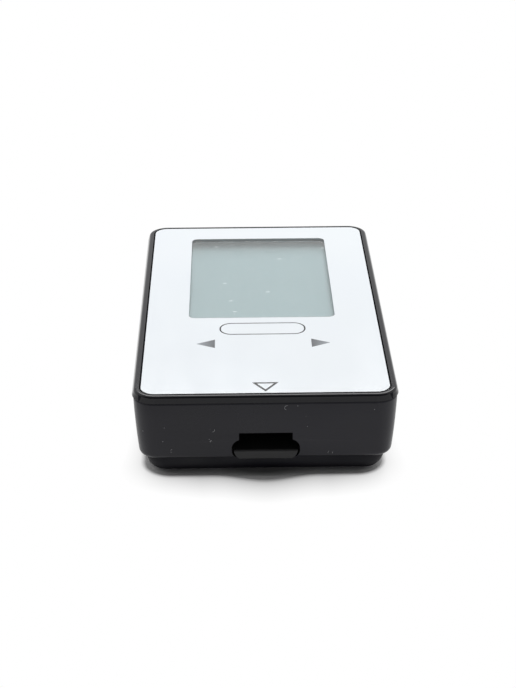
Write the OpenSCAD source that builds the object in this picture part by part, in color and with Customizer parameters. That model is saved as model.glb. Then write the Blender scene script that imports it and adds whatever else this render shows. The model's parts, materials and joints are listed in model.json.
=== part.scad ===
// Hand-held blood glucose meter. A black bezel frames a white front panel with a display
// window, the middle case has the test strip port in its near end and a push button in each
// side wall, and the bottom cover has a sliding door over the coin cell.
// Millimetres. The origin is the middle of the underside, +Z is up, the strip port faces -Y.

/* [Outer size] */
// Width across the top face of the bezel
top_w = 36.1; // [35:0.1:40]
// Length along the top face of the bezel
top_l = 60.4; // [59:0.1:68]
// Height from the surface it stands on to the front panel
total_h = 13.1; // [12.8:0.1:16]
// Plan radius of the bezel's corners
corner_r = 3.0; // [2.6:0.1:3.6]

/* [Bezel] */
// Height of the bezel's visible band
band_h = 1.0; // [0.9:0.05:1.4]
// How far the band flares out towards its lower edge
band_flare = 0.2; // [0.05:0.05:0.3]
// Width of the rim along the front panel's long sides
rim_w = 0.8; // [0.6:0.05:1.2]
// Width of the rim at the front panel's two ends
rim_end_w = 0.65; // [0.5:0.05:1.2]
// Rounding of the rim's outer top edge
rim_round = 0.4; // [0.15:0.05:0.45]
// Width of the ledge that carries the window lens
ledge_w = 0.6; // [0.4:0.05:0.65]
// Depth of the bezel's plate below the parting line
plate_drop = 0.75; // [0.5:0.05:1]

/* [Front panel] */
// Gap between the front panel and the rim
panel_gap = 0.23; // [0.1:0.01:0.25]
// Thickness of the white panel sheet
panel_t = 0.25; // [0.2:0.05:0.35]
// Thickness of the clear lens behind the panel sheet
lens_t = 0.5; // [0.4:0.05:0.55]
// Clearance between the lens's raised window and the panel's opening
window_gap = 0.03; // [0.02:0.01:0.08]
// Distance of the display window from the panel's long sides
window_side = 6.15; // [6:0.05:8]
// Distance of the display window from the panel's near edge
window_from_end = 23.75; // [22.5:0.05:26]
// Distance of the display window from the panel's far edge
window_to_end = 4.6; // [4.5:0.05:8]
// Corner radius of the display window
window_r = 1.0; // [0.5:0.1:2]

/* [Printed marks] */
// Depth of the print in the panel sheet
mark_t = 0.05; // [0.03:0.01:0.1]
// Line width of the empty rounded outline
mark_line = 0.22; // [0.12:0.02:0.3]
// Length and base width of the two button arrows
arrow_size = 2.7; // [1.5:0.1:3]
// Distance of each button arrow's tip from the middle
arrow_tip_x = 9.65; // [8:0.05:12]
// Width of the triangle that points to the strip port
port_mark_w = 3.66; // [2.5:0.1:5]
// Length of the triangle that points to the strip port
port_mark_l = 2.66; // [1.8:0.1:3]
// Line width of that triangle
port_mark_line = 0.34; // [0.14:0.02:0.4]
// Distance of that triangle's tip from the panel's near edge
port_mark_from_end = 0.4; // [0.3:0.05:1.5]
// Width of the empty rounded outline
pill_w = 12.6; // [10:0.1:14]
// Height of the empty rounded outline
pill_h = 3.9; // [3:0.1:4.5]
// Corner radius of the empty rounded outline
pill_r = 1.8; // [1:0.1:1.9]
// Distance of the empty rounded outline from the panel's near edge
pill_from_end = 18.0; // [17:0.1:18.5]

/* [Middle case] */
// Wall thickness of the middle case
case_wall = 1.3; // [1.1:0.05:1.5]
// Radius of the slow bow of the case wall from top to bottom
bow_r = 108; // [90:1:200]
// Height above the front panel at which that bow stands upright
bow_rise = 1.9; // [1:0.1:3]
// How far the bezel's band stands proud of the case
band_step = 0.15; // [0.05:0.01:0.2]
// Parting gap between the bezel's band and the case
part_gap = 0.12; // [0.04:0.01:0.15]
// Thickness of the case's lip outside the bezel's plate
case_lip_t = 0.45; // [0.35:0.05:0.6]
// Rounding of the case's lower edge
case_edge_r = 0.85; // [0.5:0.05:1]

/* [Bottom cover] */
// Height of the bottom cover's visible side
cover_h = 3.0; // [2.8:0.1:3.3]
// How far the cover's side lies inside the case's side
cover_inset = 0.8; // [0.6:0.05:0.9]
// Plan radius of the cover's corners
cover_corner_r = 2.8; // [2.6:0.1:3]
// Rounding of the cover's lower edge
cover_edge_r = 2.4; // [1.6:0.1:2.5]
// Thickness of the cover's side walls
cover_wall = 1.2; // [1:0.05:1.3]
// Thickness of the cover's floor
floor_t = 1.2; // [1.1:0.05:1.35]
// Height of the rim that locates the cover in the case
locate_h = 1.0; // [0.6:0.1:1.1]
// Thickness of that rim
locate_t = 0.6; // [0.5:0.05:0.8]
// Clearance between that rim and the case
locate_gap = 0.08; // [0.04:0.02:0.15]
// Width of the bare label on the underside
label_w = 20; // [10:0.5:21]
// Length of the bare label on the underside
label_l = 17; // [8:0.5:19]
// Thickness of the bare label
label_t = 0.1; // [0.05:0.01:0.12]
// How far the label lies inside its recess
label_sink = 0.05; // [0.02:0.01:0.1]
// Corner radius of the label and its recess
label_r = 1.5; // [0.5:0.1:2]

/* [Test strip port] */
// Width of the slot for the test strip
slot_w = 7.35; // [6.8:0.05:7.8]
// Height of the slot above the cover's lip
slot_h = 2.85; // [2.2:0.05:2.9]
// Width of the rounded recess round the lip
recess_w = 9.4; // [8.2:0.1:10]
// Height of the rounded recess above the cover's side
recess_h = 3.2; // [2.6:0.1:3.6]
// Corner radius of the rounded recess
recess_r = 1.5; // [0.8:0.1:1.6]
// Height of the lip that the test strip slides over
lip_h = 1.4; // [1.1:0.05:1.5]
// Gap between the lip and the recess
lip_gap = 0.3; // [0.15:0.05:0.4]
// Rounding of the lip's front edges
lip_round = 0.3; // [0.1:0.05:0.4]

/* [Strip connector] */
// Width of the test strip that it takes
strip_w = 6.2; // [5:0.1:6.6]
// Height of the strip channel in the connector
channel_h = 0.9; // [0.7:0.05:1.2]
// Clearance at each side of the test strip
strip_gap = 0.15; // [0.1:0.05:0.3]
// Side wall and floor thickness of the connector
connector_wall = 0.7; // [0.5:0.05:0.9]
// Distance of the connector's mouth behind the case's inner wall
connector_back = 3.2; // [0.5:0.1:4]
// Length of the connector
connector_l = 11; // [9:0.5:13]
// Number of strip contacts
contact_count = 5; // [3:1:6]
// Distance between neighbouring strip contacts
contact_pitch = 1.15; // [1:0.05:1.2]
// Width of each strip contact
contact_w = 0.6; // [0.4:0.05:0.7]
// Thickness of the sprung contact leaves
leaf_t = 0.2; // [0.15:0.01:0.25]
// Length of each strip contact's flat run under the board
contact_foot = 2.6; // [2:0.1:3]
// Length of each strip contact's sloping stretches
contact_reach = 3.8; // [3:0.1:4.5]
// Size of the thermistor beside the connector
thermistor_size = 0.8; // [0.5:0.1:1]

/* [Side buttons] */
// Length of each button along the side wall
button_l = 10; // [8:0.1:12]
// Height of each button
button_h = 4; // [3:0.1:4.2]
// Distance of the buttons and their arrows from the panel's near edge
button_from_end = 15.1; // [14:0.1:15.5]
// Height of the middle of the buttons above the surface it stands on
button_z = 7.4; // [7:0.1:7.8]
// How far the buttons stand out of the wall
button_proud = 0.28; // [0.1:0.02:0.34]
// Press travel of the buttons
button_travel = 0.35; // [0.2:0.05:0.4]
// Clearance round each button in its hole
button_gap = 0.12; // [0.08:0.01:0.2]
// Width of the flange that keeps each button in the case
flange_w = 0.6; // [0.4:0.05:0.7]
// Thickness of that flange
flange_t = 0.6; // [0.4:0.05:0.7]

/* [Button switches] */
// Length of each switch along the side wall
switch_l = 4.6; // [4:0.1:6]
// Depth of each switch from its front to its back
switch_d = 3.0; // [2.6:0.1:3.6]
// Height of each switch below the circuit board
switch_h = 2.0; // [1.8:0.1:2.2]
// Length of the switch plunger along the side wall
plunger_l = 2.2; // [1.5:0.1:2.8]
// Height of the switch plunger
plunger_h = 1.0; // [0.8:0.1:1.2]
// How far the plunger stands out of the switch at rest
plunger_out = 0.8; // [0.6:0.05:1]
// Length of the button's stem that meets the plunger
stem_l = 1.5; // [1:0.1:1.8]
// How far the plunger reaches into the switch at rest
plunger_in = 0.9; // [0.7:0.05:1]
// Clearance round the plunger
plunger_gap = 0.06; // [0.05:0.01:0.1]

/* [Display] */
// Depth of the display's face below the front panel
display_depth = 1.36; // [1.25:0.01:1.5]
// Thickness of each display glass
glass_t = 0.55; // [0.4:0.05:0.6]
// Thickness of each display film
film_t = 0.15; // [0.1:0.01:0.2]
// How far the display glass reaches past the window at each side
glass_side = 0.9; // [0.7:0.05:1]
// How far the display glass reaches past the far end of the window
glass_far = 3.3; // [3:0.05:3.35]
// How far the rear glass reaches past the near end of the window
glass_near = 2.8; // [2:0.1:3]
// Length of the front glass's contact ledge
contact_ledge = 2.4; // [2.1:0.1:2.6]
// Clearance round the display glass in its holder
glass_gap = 0.05; // [0.03:0.01:0.1]
// How far the display films stay inside the edge of the glass
film_inset = 0.1; // [0.05:0.05:0.3]
// Wall thickness of the display holder
holder_wall = 0.55; // [0.4:0.05:0.6]
// Floor thickness of the display holder
holder_floor = 0.6; // [0.4:0.05:0.8]
// Height of the display's underside above the circuit board
display_rise = 2.2; // [2:0.1:2.3]
// Width of the elastomer connector
elastomer_w = 1.8; // [1.2:0.1:1.9]
// How far the screen gasket covers the edge of the display
gasket_cover = 0.35; // [0.1:0.05:0.5]

/* [Circuit board] */
// Thickness of the circuit board
board_t = 0.8; // [0.6:0.1:1]
// Clearance between the circuit board and the case wall
board_gap = 0.7; // [0.4:0.05:0.9]
// Size of the main chip
chip_size = 7; // [5:0.5:8]
// Width of the memory chip
memory_w = 4; // [3:0.5:4.5]
// Length of the memory chip
memory_l = 5; // [4:0.5:5.5]
// Width of the amplifier chip
amplifier_w = 5; // [4:0.5:6]
// Length of the amplifier chip
amplifier_l = 6; // [4:0.5:7]
// Thickness of the chips
chip_t = 1.0; // [0.8:0.05:1.2]
// Height of the chips' undersides above the board
chip_lift = 0.1; // [0.05:0.05:0.15]
// Width of the chips' leads
lead_w = 0.3; // [0.2:0.05:0.35]
// Thickness of the chips' leads
lead_t = 0.12; // [0.1:0.01:0.15]
// How far the leads reach out of the chips
lead_out = 0.8; // [0.6:0.05:1]
// Length of the capacitors
capacitor_l = 1.6; // [1:0.1:1.8]
// Width and height of the capacitors
capacitor_w = 0.8; // [0.5:0.1:0.9]
// Length of the resistors
resistor_l = 1.0; // [0.8:0.1:1.2]
// Width of the resistors
resistor_w = 0.5; // [0.3:0.05:0.6]
// Height of the resistors
resistor_h = 0.35; // [0.25:0.05:0.45]
// Distance between neighbouring small parts on the board
part_pitch = 2.2; // [2:0.1:2.4]
// Radius of the crystal's can
crystal_r = 0.75; // [0.5:0.05:0.75]
// Length of the crystal's can
crystal_l = 6; // [4:0.5:8]

/* [Battery] */
// Radius of the coin cell
cell_r = 10; // [9.8:0.05:10.1]
// Height of the coin cell
cell_h = 3.2; // [2.5:0.1:3.4]
// Gap between the coin cell and the door
cell_gap = 0.2; // [0.1:0.05:0.3]
// Clearance round the coin cell in its tray
cell_side_gap = 0.2; // [0.1:0.05:0.3]
// Thickness of the cell's cup wall at its rim
cup_wall = 0.8; // [0.5:0.05:1]
// Thickness of the cell's seal
seal_t = 0.4; // [0.3:0.05:0.5]
// How far the cell's cap stands above the rim of its cup
cap_rise = 0.15; // [0.1:0.05:0.25]
// Width of the cell's two contact leaves
cell_leaf_w = 3.0; // [2:0.1:3.4]
// Clearance between a contact leaf and the face that it presses on
touch_gap = 0.03; // [0.02:0.01:0.05]
// Distance of the coin cell from the far end of the cover
cell_from_end = 6.3; // [6:0.1:7.5]
// Wall thickness of the cell tray
tray_wall = 1.3; // [1:0.05:1.4]
// Roof thickness of the cell tray
tray_roof = 0.8; // [0.6:0.05:0.9]

/* [Battery door] */
// How far the door's plate reaches past the coin cell at each side
door_side = 0.9; // [0.6:0.05:1]
// How far the door's plate reaches past the coin cell towards the strip port
door_lead = 1.7; // [1:0.1:2.5]
// Thickness of the door's upturned end
door_end_t = 1.4; // [1.2:0.05:1.6]
// Width of the tongues that run in the cover
tongue_w = 0.8; // [0.5:0.05:0.85]
// Thickness of those tongues
tongue_t = 0.6; // [0.4:0.05:0.7]
// Clearance round the door
door_gap = 0.1; // [0.08:0.01:0.15]
// Number of grip grooves
grip_count = 5; // [3:1:6]
// Distance between neighbouring grip grooves
grip_pitch = 1.4; // [1.2:0.1:1.8]
// Length of the grip grooves
grip_l = 12; // [6:0.5:16]
// Depth of the grip grooves
grip_depth = 0.3; // [0.15:0.05:0.4]
// Distance of the first grip groove from the door's upturned end
grip_from_end = 2.0; // [1.5:0.1:3]
// Size of the arrow head beside the grip grooves
door_arrow = 1.8; // [1:0.1:2.4]

/* [Screws] */
// Distance of the screws from the bezel's long sides
screw_inset_x = 4.05; // [3.9:0.05:4.15]
// Distance of the screws from the bezel's ends
screw_inset_y = 5.0; // [4.8:0.1:5.6]
// Radius of the screw shanks
screw_r = 0.7; // [0.5:0.05:0.75]
// Radius of the screw heads
head_r = 1.1; // [0.95:0.05:1.1]
// Height of the screw heads
head_h = 0.7; // [0.5:0.05:0.8]
// Radius of the posts and bosses that the screws pass through
post_r = 1.4; // [1.3:0.05:1.42]
// Thickness of the floor under each screw head's seat
seat_t = 0.2; // [0.15:0.05:0.3]
// Spare depth of the bosses' bores beyond the screws
bore_spare = 0.2; // [0.1:0.05:0.4]
// Width of the cross slots in the screw heads
cross_w = 0.35; // [0.25:0.05:0.4]
// Clearance round a screw in its boss
thread_gap = 0.04; // [0.02:0.01:0.06]
// Clearance round a screw in its post and its board hole
shank_gap = 0.15; // [0.1:0.05:0.25]

/* [Hidden] */

round_fn = 64;
bow_fn = 720;
through = 1;

// Heights, from the front panel down
lens_top = total_h - panel_t;
lens_z = lens_top - lens_t;
part_z = total_h - band_h;
plate_z = part_z - plate_drop;
display_z = total_h - display_depth;
front_glass_z = display_z - film_t - glass_t;
rear_glass_z = front_glass_z - glass_t;
display_base = rear_glass_z - film_t;
board_top = display_base - display_rise;
board_z = board_top - board_t;

// Heights, from the underside up
cell_z = floor_t + cell_gap;
cell_top = cell_z + cell_h;
lip_top = cover_h + lip_h;
lip_foot = cover_h - lip_gap / 3;
slot_top = lip_top + slot_h;
strip_z = lip_top + strip_gap;

// Plan of the bezel, the case and the panel
core_x = top_w / 2 - corner_r;
core_y = top_l / 2 - corner_r;
panel_w = top_w - 2 * (rim_w + panel_gap);
panel_l = top_l - 2 * (rim_end_w + panel_gap);
panel_r = corner_r - rim_w - panel_gap;
panel_end = -panel_l / 2;
case_r = corner_r + band_flare - band_step;
bow_z = total_h + bow_rise;
bow_x = case_r - sqrt(pow(bow_r, 2) - pow(bow_z - part_z, 2));

// Distance of the case wall from the corner's axis at height z, inset mm inside its face
function wall_r(z, inset = 0) = bow_x + sqrt(pow(bow_r - inset, 2) - pow(bow_z - z, 2));

// Bottom cover
cover_x = core_x + wall_r(cover_h) - cover_inset;
cover_y = core_y + wall_r(cover_h) - cover_inset;
locate_r = wall_r(cover_h, case_wall) - locate_gap;

// Screws
post_x = top_w / 2 - screw_inset_x;
post_y = top_l / 2 - screw_inset_y;
seat_z = floor_t - seat_t;
screw_end = plate_z - head_h;

// Display
window_w = panel_w - 2 * window_side;
window_l = panel_l - window_from_end - window_to_end;
window_near = panel_end + window_from_end;
window_far = window_near + window_l;
glass_w = window_w + 2 * glass_side;
glass_end = window_far + glass_far;
rear_start = window_near - glass_near;
front_start = rear_start - contact_ledge;
holder_x = glass_w / 2 + glass_gap + holder_wall;
holder_start = front_start - glass_gap - holder_wall;
holder_end = glass_end + glass_gap + holder_wall;

// Coin cell and door
cell_y = cover_y - cell_from_end - cell_r;
seal_r = cell_r - cup_wall;
cap_r = seal_r - seal_t;
cup_z = cell_z + cell_h / 2;
rim_z = cell_top - cap_rise;
door_x = cell_r + door_side;
door_start = cell_y - cell_r - door_lead;
door_end = cover_y - door_end_t;
label_y = (door_start - cover_y) / 2;
tongue_x = door_x + tongue_w;
tongue_z = floor_t - tongue_t;
tray_r = cell_r + cell_side_gap;
tray_x = tray_r + tray_wall + door_side - cell_side_gap;
tray_roof_z = cell_top + cell_gap;

// Strip connector
front_y = -(core_y + wall_r(lip_top));
connector_start = -(core_y + wall_r(cover_h, case_wall)) + connector_back;
connector_end = connector_start + connector_l;
connector_x = strip_w / 2 + strip_gap + connector_wall;
connector_z = strip_z - connector_wall;

// Buttons and switches
button_y = panel_end + button_from_end;
wall_x = core_x + wall_r(button_z);
flange_x = core_x + wall_r(button_z - button_h / 2 - flange_w, case_wall) - button_gap;
plunger_z = board_z - switch_h / 2;
flange_back = flange_x - flange_t;
plunger_end = flange_back - stem_l;
switch_front = plunger_end - plunger_out;

// Circuit board, with each chip's middle, its width and length, and its leads on each side
board_x = core_x + wall_r(board_z, case_wall) - board_gap;
board_y = core_y + wall_r(board_z, case_wall) - board_gap / 2;
main_x = -part_pitch - chip_size / 2;
memory_x = part_pitch + lead_out + memory_w / 2;
crystal_x = memory_x + memory_w / 2 + lead_out + 2 * crystal_r;
chips = [
    [[main_x, button_y - chip_size / 2], [chip_size, chip_size], 7],
    [[memory_x, button_y - memory_l], [memory_w, memory_l], 4],
    [[0, (holder_start + holder_end) / 2], [amplifier_w, amplifier_l], 5]
];

// Flat shape of a rectangle w by l with rounded corners
module rounded(w, l, r) {
    square([w - 2 * r, l], center = true);
    square([w, l - 2 * r], center = true);
    for (x = [-1, 1], y = [-1, 1])
        translate([x * (w / 2 - r), y * (l / 2 - r)]) circle(r, $fn = round_fn);
}

// Flat shape of a bar w by h with half-round ends
module stadium(w, h) {
    square([w - h, h], center = true);
    for (x = [-1, 1]) translate([x * (w - h) / 2, 0]) circle(h / 2, $fn = round_fn);
}

// Plate with rounded corners between two heights
module plate(w, l, r, z0, z1) {
    translate([0, 0, z0]) linear_extrude(z1 - z0) rounded(w, l, r);
}

// Block between two corners
module block(low, high) {
    translate(low) cube(high - low);
}

// Cylinder on the Z axis between two heights
module cylinder_from(z0, z1, r) {
    translate([0, 0, z0]) cylinder(r = r, h = z1 - z0, $fn = round_fn);
}

// Solid with a rounded rectangle as its plan: the profile that the children draw outside the
// corner's axis goes round the four corners and along the sides, and z0 to z1 is filled inside
module around(cx, cy, z0, z1) {
    for (x = [-cx, cx], y = [-cy, cy])
        translate([x, y, 0]) rotate_extrude($fn = round_fn) children();
    rotate([90, 0, 0]) translate([0, 0, -cy]) linear_extrude(2 * cy)
        both_sides(cx, z0, z1) children();
    rotate([90, 0, 90]) translate([0, 0, -cx]) linear_extrude(2 * cx)
        both_sides(cy, z0, z1) children();
}

module both_sides(core, z0, z1) {
    translate([core, 0]) children();
    mirror([1, 0]) translate([core, 0]) children();
    translate([-core, z0]) square([2 * core, z1 - z0]);
}

// Thin strip of thickness t along a list of points, with mitred bends
module ribbon(points, t) {
    last = len(points) - 1;
    ways = [for (i = [1 : last]) (points[i] - points[i - 1]) / norm(points[i] - points[i - 1])];
    sides = [for (i = [0 : last])
        let (a = ways[max(i - 1, 0)], b = ways[min(i, last - 1)])
            [-a[1] - b[1], a[0] + b[0]] / (1 + a * b) * t / 2];
    polygon(concat(points + sides, [for (i = [last : -1 : 0]) points[i] - sides[i]]));
}

// Places the children at the four screws
module at_screws() {
    for (x = [-post_x, post_x], y = [-post_y, post_y]) translate([x, y, 0]) children();
}

// Turns a flat shape drawn in width and height to lie in a side wall, from x0 to x1
module in_side_wall(x0, x1) {
    translate([x0, button_y, button_z]) rotate([90, 0, 90]) linear_extrude(x1 - x0) children();
}

// Turns a flat shape drawn in width and height to face the near end, from y0 to y1
module in_end_wall(y0, y1) {
    translate([0, y1, 0]) rotate([90, 0, 0]) linear_extrude(y1 - y0) children();
}

// Side profile of the bezel's band: flared outwards and rounded at the top edge
module band_profile() {
    polygon([
        [0, part_z], [corner_r + band_flare, part_z], [corner_r, total_h - rim_round],
        [0, total_h - rim_round]
    ]);
    translate([0, part_z]) square([corner_r - rim_round, band_h]);
    translate([corner_r - rim_round, total_h - rim_round]) circle(rim_round, $fn = round_fn);
}

module bezel_frame() {
    plate_r = case_r - case_lip_t - locate_gap;
    color([0.09, 0.09, 0.1]) difference() {
        union() {
            around(core_x, core_y, part_z, total_h) band_profile();
            plate(2 * (core_x + plate_r), 2 * (core_y + plate_r), plate_r, plate_z, total_h - rim_round);
        }
        plate(panel_w + 2 * panel_gap, panel_l + 2 * panel_gap, panel_r + panel_gap,
            lens_z, total_h + through);
        difference() {
            plate(panel_w - 2 * ledge_w, panel_l - 2 * ledge_w, panel_r - ledge_w,
                plate_z - through, lens_z + through);
            for (side = [-1, 1], y = [-post_y, post_y]) translate([side * post_x, y, 0])
                scale([side, 1, 1])
                    block([0, -post_r, plate_z - 2 * through], [corner_r, post_r, lens_z + 2 * through]);
        }
    }
    color([0.09, 0.09, 0.1]) at_screws() difference() {
        cylinder_from(board_top, lens_z, post_r);
        cylinder_from(board_top - through, screw_end + bore_spare, screw_r + thread_gap);
    }
}

// Window opening, grown by the given amount, between two heights
module window_block(grow, z0, z1) {
    translate([0, (window_near + window_far) / 2, 0])
        plate(window_w + 2 * grow, window_l + 2 * grow, window_r + grow, z0, z1);
}

// Flat shapes of the print: two arrows, the port triangle and the empty rounded outline
module mark_shapes() {
    for (side = [-1, 1]) translate([side * arrow_tip_x, button_y]) polygon([
        [0, 0], [-side * arrow_size, arrow_size / 2], [-side * arrow_size, -arrow_size / 2]
    ]);
    translate([0, panel_end + port_mark_from_end]) difference() {
        port_triangle(0);
        port_triangle(port_mark_line);
    }
    translate([0, panel_end + pill_from_end + pill_h / 2]) difference() {
        rounded(pill_w, pill_h, pill_r);
        rounded(pill_w - 2 * mark_line, pill_h - 2 * mark_line, pill_r - mark_line);
    }
}

// Triangle with its tip at the origin, drawn the given distance inside its own outline
module port_triangle(inside) {
    tip = inside * norm([port_mark_w / 2, port_mark_l]) / (port_mark_w / 2);
    half = (port_mark_l - inside - tip) * port_mark_w / 2 / port_mark_l;
    polygon([[0, tip], [half, port_mark_l - inside], [-half, port_mark_l - inside]]);
}

module front_panel() {
    color([0.95, 0.97, 0.99]) difference() {
        plate(panel_w, panel_l, panel_r, lens_top, total_h);
        window_block(0, lens_top - through, total_h + through);
        translate([0, 0, total_h - mark_t]) linear_extrude(mark_t + through) mark_shapes();
    }
}

module panel_marks() {
    color([0.45, 0.48, 0.52]) translate([0, 0, total_h - mark_t])
        linear_extrude(mark_t) mark_shapes();
}

module window_lens() {
    color([0.8, 0.9, 0.92, 0.25]) {
        plate(panel_w, panel_l, panel_r, lens_z, lens_top);
        window_block(-window_gap, lens_z, total_h);
    }
}

// Frame-shaped foam between the lens and the display holder
module screen_gasket() {
    side = glass_w / 2 - gasket_cover;
    color([0.05, 0.05, 0.05]) difference() {
        block([-holder_x, holder_start, display_z], [holder_x, holder_end, lens_z]);
        block([-side, rear_start + gasket_cover, display_z - through],
            [side, glass_end - gasket_cover / 2, lens_z + through]);
    }
}

// One layer of the display from y0 to its far end
module display_layer(inset, y0, z, t) {
    block([-glass_w / 2 + inset, y0 + inset, z], [glass_w / 2 - inset, glass_end - inset, z + t]);
}

module display_polarizer() {
    color([0.7, 0.78, 0.79]) display_layer(film_inset, rear_start, display_z - film_t, film_t);
}

module display_front_glass() {
    color([0.75, 0.85, 0.85]) display_layer(0, front_start, front_glass_z, glass_t);
}

module display_rear_glass() {
    color([0.75, 0.85, 0.85]) display_layer(0, rear_start, rear_glass_z, glass_t);
}

module display_reflector() {
    color([0.8, 0.8, 0.78]) display_layer(film_inset, rear_start, display_base, film_t);
}

// Tray on the circuit board: it carries the display and guides the elastomer connector
module display_holder() {
    inner_x = holder_x - holder_wall;
    elastomer_far = front_start + glass_gap + elastomer_w;
    color([0.12, 0.12, 0.13]) difference() {
        block([-holder_x, holder_start, board_top], [holder_x, holder_end, display_z]);
        block([-inner_x, holder_start + holder_wall, display_base],
            [inner_x, holder_end - holder_wall, display_z + through]);
        block([-inner_x, elastomer_far + holder_wall + glass_gap, board_top - through],
            [inner_x, holder_end - holder_wall, display_base - holder_floor]);
        block([-inner_x, holder_start + holder_wall, board_top - through],
            [inner_x, elastomer_far + glass_gap, display_base + through]);
    }
}

module elastomer_connector() {
    color([0.85, 0.55, 0.5]) block([-glass_w / 2 + glass_side, front_start + glass_gap, board_top],
        [glass_w / 2 - glass_side, front_start + glass_gap + elastomer_w, front_glass_z]);
}

module circuit_board() {
    notch_l = button_l + 2 * (flange_w + button_gap);
    notch_x = flange_back - button_travel - button_gap;
    color([0.1, 0.35, 0.2]) difference() {
        plate(2 * board_x, 2 * board_y, corner_r - case_wall, board_z, board_top);
        at_screws() cylinder_from(board_z - through, board_top + through, screw_r + shank_gap);
        for (side = [-1, 1]) translate([0, button_y, 0]) scale([side, 1, 1])
            block([notch_x, -notch_l / 2, board_z - through],
                [top_w / 2, notch_l / 2, board_top + through]);
    }
}

module chip(i) {
    size = chips[i][1];
    color([0.13, 0.13, 0.14]) translate([chips[i][0][0], chips[i][0][1], board_top])
        block([-size[0] / 2, -size[1] / 2, chip_lift], [size[0] / 2, size[1] / 2, chip_lift + chip_t]);
}

module main_chip() {
    chip(0);
}

module memory_chip() {
    chip(1);
}

module amplifier_chip() {
    chip(2);
}

// Bent leads along two sides of each chip
module chip_leads() {
    foot = lead_out / 2;
    color([0.75, 0.75, 0.72]) for (c = chips) {
        pitch = c[1][1] / (c[2] + 0.5);
        for (side = [-1, 1], i = [0 : c[2] - 1])
            translate([c[0][0] + side * c[1][0] / 2, c[0][1] + (i - (c[2] - 1) / 2) * pitch, board_top])
                scale([side, 1, 1]) translate([0, -lead_w / 2, 0]) {
                    translate([0, 0, chip_t / 2]) cube([foot, lead_w, lead_t]);
                    translate([foot - lead_t, 0, 0]) cube([lead_t, lead_w, chip_t / 2 + lead_t]);
                    translate([foot - lead_t, 0, 0]) cube([foot + lead_t, lead_w, lead_t]);
                }
    }
}

module timing_crystal() {
    color([0.8, 0.8, 0.78])
        translate([crystal_x, button_y - crystal_l, board_top + crystal_r]) rotate([-90, 0, 0])
            cylinder(r = crystal_r, h = crystal_l, $fn = round_fn);
}

// Row of small blocks on the board, from the middle of the first one
module board_row(start, step, count, size) {
    for (i = [0 : count - 1]) {
        middle = start + i * step;
        translate([middle[0] - size[0] / 2, middle[1] - size[1] / 2, board_top]) cube(size);
    }
}

module board_capacitors() {
    across = [capacitor_w, capacitor_l, capacitor_w];
    along = [capacitor_l, capacitor_w, capacitor_w];
    color([0.72, 0.6, 0.42]) {
        board_row([-chip_size, button_y - 1.5 * chip_size], [part_pitch, 0], 4, across);
        board_row([-chip_size, holder_start + chip_size], [0, part_pitch], 4, along);
    }
}

module board_resistors() {
    size = [resistor_l, resistor_w, resistor_h];
    color([0.1, 0.1, 0.1]) {
        board_row([resistor_l, button_y - chip_size], [0, part_pitch / 2], 5, size);
        board_row([chip_size, holder_start + chip_size], [0, part_pitch], 6, size);
    }
}

module thermistor() {
    size = thermistor_size;
    color([0.2, 0.25, 0.5]) translate([connector_x + size, connector_start + size, board_z - size])
        cube([2 * size, size, size]);
}

// Housing below the board: a floor, two sides, a roof at the mouth, an end stop and a hood that
// hides the board behind the slot
module strip_connector() {
    channel_x = strip_w / 2 + strip_gap;
    mouth_end = connector_start + connector_l / 3;
    hood_start = connector_start - connector_back + 2 * locate_gap;
    color([0.1, 0.1, 0.1])
        block([-connector_x, hood_start, board_z - connector_wall],
            [connector_x, connector_start + connector_wall, board_z]);
    color([0.1, 0.1, 0.1]) difference() {
        block([-connector_x, connector_start, connector_z], [connector_x, connector_end, board_z]);
        block([-channel_x, connector_start - through, strip_z],
            [channel_x, connector_end - connector_wall, strip_z + channel_h]);
        block([-channel_x, mouth_end, strip_z],
            [channel_x, connector_end - connector_wall, board_z + through]);
        block([-channel_x, mouth_end, strip_z + channel_h],
            [channel_x, connector_end + through, board_z + through]);
    }
}

module strip_contacts() {
    top = board_z - leaf_t / 2;
    touch = strip_z + channel_h / 2;
    bend = connector_end + connector_wall - contact_foot;
    tip = bend - contact_reach;
    lead_in = [tip - channel_h, touch + channel_h / 2];
    path = [[bend + contact_foot, top], [bend, top], [tip, touch], lead_in];
    color([0.85, 0.7, 0.3]) for (i = [0 : contact_count - 1])
        translate([(i - (contact_count - 1) / 2) * contact_pitch - contact_w / 2, 0, 0])
            rotate([90, 0, 90]) linear_extrude(contact_w) ribbon(path, leaf_t);
}

// Push switch below the board, with the pocket that its plunger slides in
module push_switch(side) {
    pocket = switch_front - plunger_in - button_travel - plunger_gap;
    color([0.2, 0.2, 0.2]) translate([0, button_y, 0]) scale([side, 1, 1]) difference() {
        block([switch_front - switch_d, -switch_l / 2, board_z - switch_h],
            [switch_front, switch_l / 2, board_z]);
        block([pocket, -plunger_l / 2 - plunger_gap, plunger_z - plunger_h / 2 - plunger_gap],
            [switch_front + through, plunger_l / 2 + plunger_gap, plunger_z + plunger_h / 2 + plunger_gap]);
    }
}

module switch_left() {
    push_switch(-1);
}

module switch_right() {
    push_switch(1);
}

module plunger(side) {
    color([0.85, 0.85, 0.8]) translate([0, button_y, 0]) scale([side, 1, 1])
        block([switch_front - plunger_in, -plunger_l / 2, plunger_z - plunger_h / 2],
            [plunger_end, plunger_l / 2, plunger_z + plunger_h / 2]);
}

module plunger_left() {
    plunger(-1);
}

module plunger_right() {
    plunger(1);
}

// Button cap with round ends, its keeper flange and the stem that meets the plunger
module side_button(side) {
    color([0.1, 0.1, 0.11]) scale([side, 1, 1]) {
        in_side_wall(flange_x - flange_t / 2, wall_x + button_proud) stadium(button_l, button_h);
        in_side_wall(flange_back, flange_x)
            stadium(button_l + 2 * flange_w, button_h + 2 * flange_w);
        translate([0, button_y, 0])
            block([plunger_end, -plunger_l / 2, plunger_z - plunger_h / 2],
                [flange_back + flange_t / 2, plunger_l / 2, plunger_z + plunger_h / 2]);
    }
}

module button_left() {
    side_button(-1);
}

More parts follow.
